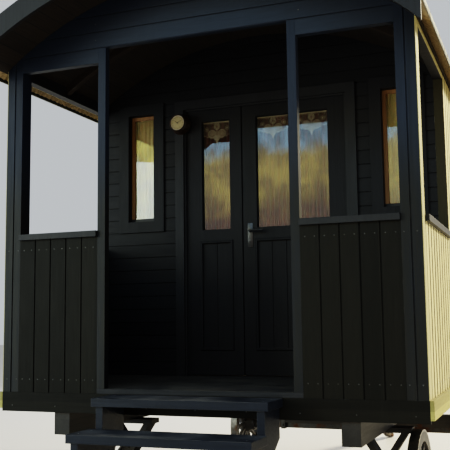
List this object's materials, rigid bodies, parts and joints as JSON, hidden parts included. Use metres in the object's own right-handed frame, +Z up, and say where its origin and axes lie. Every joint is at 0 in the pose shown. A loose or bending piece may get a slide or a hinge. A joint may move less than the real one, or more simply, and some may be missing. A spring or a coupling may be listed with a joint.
{
  "type": "vardo wagon",
  "caption": "Timber living wagon with a roofed porch, bowed roof, open steps, double door, turntable steering and drawbar.",
  "frame": {"origin": "centre of the whole object's footprint, on the ground", "axes": "+Z up, +Y from the porch and its steps towards the drawbar, +X to the right seen from the porch"},
  "size_m": [2.67, 7.1672, 3.3833],
  "materials": {
    "black_paint": "satin black paint on boards",
    "sage_paint": "weathered sage paint on boards",
    "deck_wood": "dark stained boards",
    "ceiling_wood": "bare boards, aged",
    "sash_wood": "oiled brown wood",
    "roof_metal": "rusty painted sheet",
    "chassis_wood": "tarred timber",
    "iron": "dark forged iron",
    "pane_glass": "clear pane",
    "cream_cloth": "beige cotton",
    "red_cloth": "red-brown cotton with lace at the top",
    "clock_wood": "dark turned wood",
    "dial_face": "cream enamel"
  },
  "bodies": {
    "wagon": {"back_wall": "sage_paint", "barge_boards": "black_paint", "bearers": "chassis_wood", "cabin_front": "black_paint", "cap_rails": "black_paint", "clock_case": "clock_wood", "clock_dial": "dial_face", "corner_posts": "black_paint", "door_frame": "black_paint", "door_hinges": "iron", "end_fascias": "black_paint", "floor": "deck_wood", "front_gable": "black_paint", "front_panels": "black_paint", "inner_posts": "black_paint", "left_wall": "sage_paint", "porch_axle": "iron", "porch_bolster": "chassis_wood", "porch_clips": "iron", "porch_plates": "black_paint", "right_wall": "sage_paint", "roof_boards": "ceiling_wood", "roof_bows": "ceiling_wood", "roof_sheet": "roof_metal", "side_panels": "sage_paint", "side_skirts": "sage_paint", "sills": "chassis_wood", "slim_casings": "black_paint", "slim_curtains": "cream_cloth", "slim_sashes": "sash_wood", "step_strings": "black_paint", "step_treads": "black_paint", "upper_bolster": "chassis_wood", "upper_plate": "iron", "window_casings": "black_paint", "window_glass": "pane_glass", "window_sashes": "sash_wood"},
    "left_leaf": {"left_door": "black_paint", "left_door_glass": "pane_glass", "left_door_curtain": "red_cloth"},
    "right_leaf": {"right_door": "black_paint", "right_door_glass": "pane_glass", "right_door_curtain": "red_cloth", "door_handle": "iron"},
    "fore_carriage": {"lower_plate": "iron", "fore_frame": "chassis_wood", "fore_bed": "chassis_wood", "fore_axle": "iron", "fore_clips": "iron", "hinge_pin": "iron"},
    "pole": {"drawbar": "chassis_wood", "tow_eye": "iron"},
    "porch_left_wheel": {"wheel_porch_left": "chassis_wood", "tyre_porch_left": "iron"},
    "porch_right_wheel": {"wheel_porch_right": "chassis_wood", "tyre_porch_right": "iron"},
    "fore_left_wheel": {"wheel_fore_left": "chassis_wood", "tyre_fore_left": "iron"},
    "fore_right_wheel": {"wheel_fore_right": "chassis_wood", "tyre_fore_right": "iron"}
  },
  "joints": [
    {"name": "left_door_swing", "type": "hinge", "parent": "wagon", "child": "left_leaf", "pos_m": [-0.561, -0.86764, 0.986], "axis": [0, 0, 1], "range_deg": [0, 100]},
    {"name": "right_door_swing", "type": "hinge", "parent": "wagon", "child": "right_leaf", "pos_m": [0.609, -0.86764, 0.986], "axis": [0, 0, -1], "range_deg": [0, 100]},
    {"name": "steering", "type": "hinge", "parent": "wagon", "child": "fore_carriage", "pos_m": [0, 1.59636, 0.5975], "axis": [0, 0, 1], "range_deg": [-40, 40]},
    {"name": "drawbar_lift", "type": "hinge", "parent": "fore_carriage", "child": "pole", "pos_m": [0, 2.11636, 0.53425], "axis": [1, 0, 0], "range_deg": [0, 50]},
    {"name": "porch_left_spin", "type": "hinge", "parent": "wagon", "child": "porch_left_wheel", "pos_m": [-1.05, -1.18364, 0.35], "axis": [1, 0, 0], "continuous": true},
    {"name": "porch_right_spin", "type": "hinge", "parent": "wagon", "child": "porch_right_wheel", "pos_m": [1.05, -1.18364, 0.35], "axis": [1, 0, 0], "continuous": true},
    {"name": "fore_left_spin", "type": "hinge", "parent": "fore_carriage", "child": "fore_left_wheel", "pos_m": [-1.05, 1.59636, 0.35], "axis": [1, 0, 0], "continuous": true},
    {"name": "fore_right_spin", "type": "hinge", "parent": "fore_carriage", "child": "fore_right_wheel", "pos_m": [1.05, 1.59636, 0.35], "axis": [1, 0, 0], "continuous": true}
  ]
}
